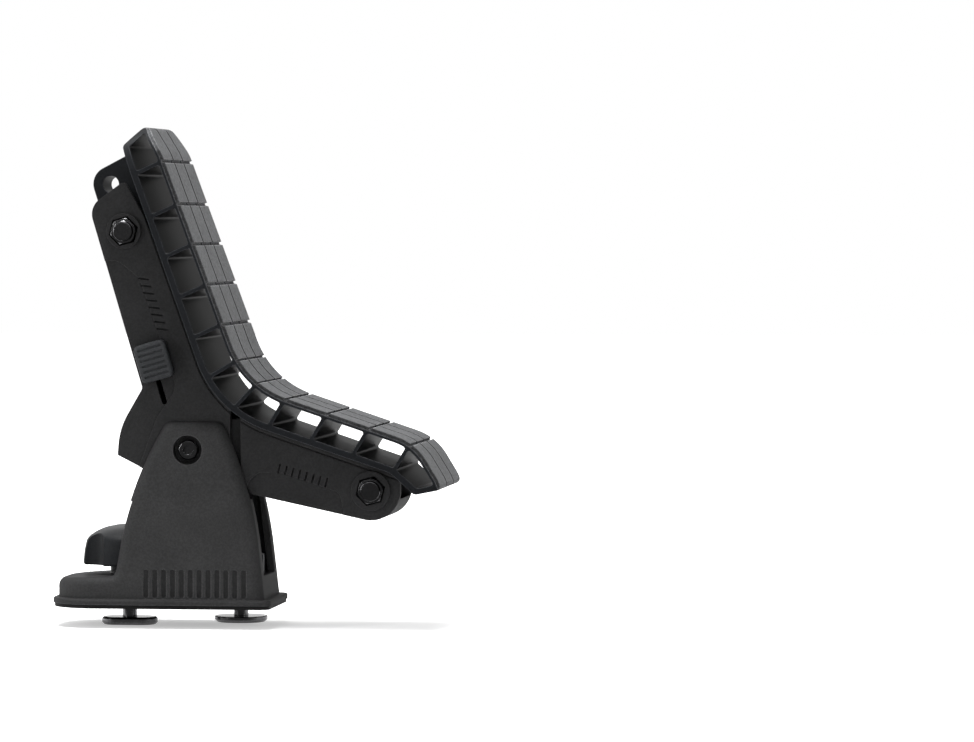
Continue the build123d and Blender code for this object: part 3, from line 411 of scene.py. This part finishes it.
def buildFloor():
    # White paper that glows more with distance. In gloss, its part on the camera's side is a dark room.
    clearSelection()
    bpy.ops.mesh.primitive_plane_add(
        size=studio["floorSize"], location=(0, 0, studio["floorLevel"] - studio["floorGap"]))
    floor = bpy.context.active_object
    floor.name = "studioFloor"
    bpy.ops.object.transform_apply(location=True, rotation=True, scale=True)
    material = bpy.data.materials.new("floorPaper")
    material.use_nodes = True
    tree = material.node_tree
    tree.nodes.clear()
    place = addNode(tree, "ShaderNodeTexCoord", -900, -100).outputs["Object"]
    reach = addNode(tree, "ShaderNodeVectorMath", -700, -100, {0: place}, operation="LENGTH")
    fade = band(tree, reach.outputs["Value"], -500, -100, studio["glowRise"], studio["nearGlow"], studio["farGlow"])
    paper = addNode(tree, "ShaderNodeBsdfDiffuse", 0, 100, {"Color": studio["floorColour"]})
    glow = addNode(tree, "ShaderNodeEmission", 0, -100, {
        "Color": studio["lightColour"], "Strength": mathNode(tree, "MULTIPLY", 50, -300, seenDirectly(tree), fade)})
    both = addNode(tree, "ShaderNodeAddShader", 300, 0, {0: paper.outputs[0], 1: glow.outputs[0]})
    room = addNode(tree, "ShaderNodeEmission", 300, -200, {
        "Color": studio["lightColour"], "Strength": studio["roomLight"]})
    front = band(tree, splitAxes(tree, place, -700, 300)["Y"], -500, 300, studio["floorRoom"], 1.0, 0.0)
    ray = addNode(tree, "ShaderNodeLightPath", -500, 600).outputs
    share = mathNode(tree, "MULTIPLY", 300, 300, ray["Is Glossy Ray"], front)
    mix = addNode(tree, "ShaderNodeMixShader", 500, 0, {"Fac": share, 1: both.outputs[0], 2: room.outputs[0]})
    addNode(tree, "ShaderNodeOutputMaterial", 750, 0, {"Surface": mix.outputs[0]})
    floor.data.materials.append(material)


def buildWorld():
    # Soft white light from all round. In gloss, the world on the camera's side is the same dark room.
    world = bpy.data.worlds.new("studioWorld")
    bpy.context.scene.world = world
    world.use_nodes = True
    tree = world.node_tree
    tree.nodes.clear()
    fill = addNode(tree, "ShaderNodeBackground", 0, 100, {
        "Color": studio["lightColour"], "Strength": studio["worldLight"]})
    ray = addNode(tree, "ShaderNodeLightPath", -900, -100).outputs
    sight = addNode(tree, "ShaderNodeNewGeometry", -1300, -250).outputs["Incoming"]
    room = band(tree, splitAxes(tree, sight, -1100, -250)["Y"], -900, -350, studio["worldRoom"],
                1.0, studio["roomLight"])
    backdrop = addNode(tree, "ShaderNodeBackground", 0, -100, {
        "Color": studio["lightColour"], "Strength": mathNode(tree, "MAXIMUM", -650, -200, ray["Is Camera Ray"], room)})
    mix = addNode(tree, "ShaderNodeMixShader", 300, 0, {
        "Fac": seenDirectly(tree), 1: fill.outputs[0], 2: backdrop.outputs[0]})
    addNode(tree, "ShaderNodeOutputWorld", 600, 0, {"Surface": mix.outputs[0]})


lamps = {
    "overheadSoftbox": {"place": (-0.1, -0.1, 1.6), "aim": (0.03, 0, 0.12), "size": (1.0, 0.6), "power": 46.0},
    "leftStrip": {"place": (-1.5, -1.1, 0.66), "aim": (0.0, 0, 0.12), "size": (0.22, 1.3), "power": 13.0},
    "rightStrip": {"place": (1.6, -0.9, 0.66), "aim": (0.05, 0, 0.13), "size": (0.12, 1.3), "power": 3.2},
    "frontFill": {"place": (-0.3, -2.6, 1.1), "aim": (0.03, 0, 0.12), "size": (1.4, 1.0), "power": 7.5},
    "backSoftbox": {"place": (-0.5, 1.9, 1.2), "aim": (0.03, 0, 0.12), "size": (1.5, 0.8), "power": 11.0}}


def buildLamps():
    for name, values in lamps.items():
        data = bpy.data.lights.new(name, "AREA")
        data.shape = "RECTANGLE"
        data.size, data.size_y = values["size"]
        data.energy = values["power"]
        lamp = bpy.data.objects.new(name, data)
        bpy.context.scene.collection.objects.link(lamp)
        lamp.location = values["place"]
        direction = Vector(values["aim"]) - lamp.location
        lamp.rotation_euler = direction.to_track_quat("-Z", "Y").to_euler()


view = {
    "place": (0.4984, -2.7044, 0.2106), "tilt": 88.29, "turn": 6.99,  # degrees
    "sensor": 36.0, "focalPixels": 5000.0, "imageWidth": 974, "clipEnd": 100.0}


def buildCamera():
    data = bpy.data.cameras.new("photoCamera")
    data.sensor_fit = "HORIZONTAL"
    data.sensor_width = view["sensor"]
    data.lens = view["focalPixels"] / view["imageWidth"] * view["sensor"]
    data.clip_end = view["clipEnd"]
    camera = bpy.data.objects.new("photoCamera", data)
    bpy.context.scene.collection.objects.link(camera)
    camera.location = view["place"]
    camera.rotation_euler = (math.radians(view["tilt"]), 0, math.radians(view["turn"]))
    bpy.context.scene.camera = camera


buildFloor()
buildWorld()
buildLamps()
buildCamera()
print("studio ready")
